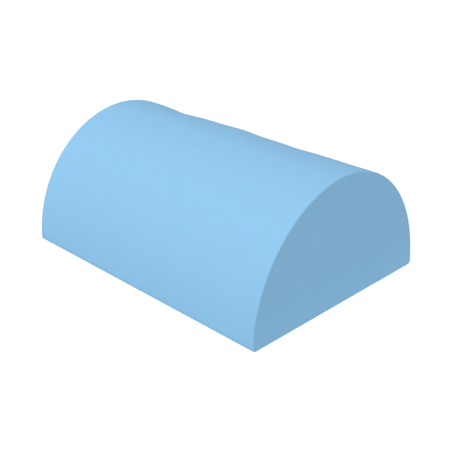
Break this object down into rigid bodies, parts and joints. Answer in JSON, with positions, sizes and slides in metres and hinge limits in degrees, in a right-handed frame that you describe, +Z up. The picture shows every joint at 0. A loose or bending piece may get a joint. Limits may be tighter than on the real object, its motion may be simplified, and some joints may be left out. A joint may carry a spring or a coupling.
{
  "type": "lumbar support cushion",
  "caption": "Half-round foam cushion with a flat base, in a thin liner and a sewn fabric cover that opens with a zip low on its rear wall.",
  "frame": {"origin": "middle of the flat base, on the surface the cushion stands on", "axes": "+X along the length, with the zip's closed end at +X; +Y to the rear, where the zip is; -Y to the front; +Z up through the crown"},
  "size_m": [0.4, 0.3044, 0.165],
  "materials": {
    "cover_cloth": "soft matt short-pile knit, light blue",
    "liner_cloth": "thin plain non-woven cloth, off-white",
    "foam": "open-cell polyurethane foam, cream",
    "zip_tape": "woven polyester tape dyed to match the cover",
    "zip_coil": "satin nylon filament",
    "zip_metal": "satin nickel-plated zinc",
    "thread": "polyester sewing thread"
  },
  "bodies": {
    "cushion": {"foam_core": "foam", "liner_sleeve": "liner_cloth", "liner_end_left": "liner_cloth", "liner_end_right": "liner_cloth", "cover_curved_panel": "cover_cloth", "cover_base_panel": "cover_cloth", "cover_end_left": "cover_cloth", "cover_end_right": "cover_cloth", "seam_thread_end_left": "thread", "seam_thread_end_right": "thread", "seam_thread_front_edge": "thread", "seam_thread_rear_left": "thread", "seam_thread_rear_right": "thread", "zip_topstitch_upper": "thread", "zip_topstitch_lower": "thread", "zip_bartack_left": "thread", "zip_bartack_right": "thread", "zip_tape_upper": "zip_tape", "zip_tape_lower": "zip_tape", "zip_coil_upper": "zip_coil", "zip_coil_lower": "zip_coil", "zip_top_stop_upper": "zip_metal", "zip_top_stop_lower": "zip_metal", "zip_bottom_stop": "zip_metal"},
    "zip_slider": {"zip_slider_body": "zip_metal"},
    "zip_pull": {"zip_pull_tab": "zip_metal"}
  },
  "joints": [
    {"name": "zip_slide", "type": "slide", "parent": "cushion", "child": "zip_slider", "axis": [-1, 0, 0], "range_m": [0, 0.32]},
    {"name": "pull_tab_hinge", "type": "hinge", "parent": "zip_slider", "child": "zip_pull", "pos_m": [0.16, 0.15216, 0.02243], "axis": [0, 0.1214, -0.9926], "range_deg": [0, 180]}
  ]
}
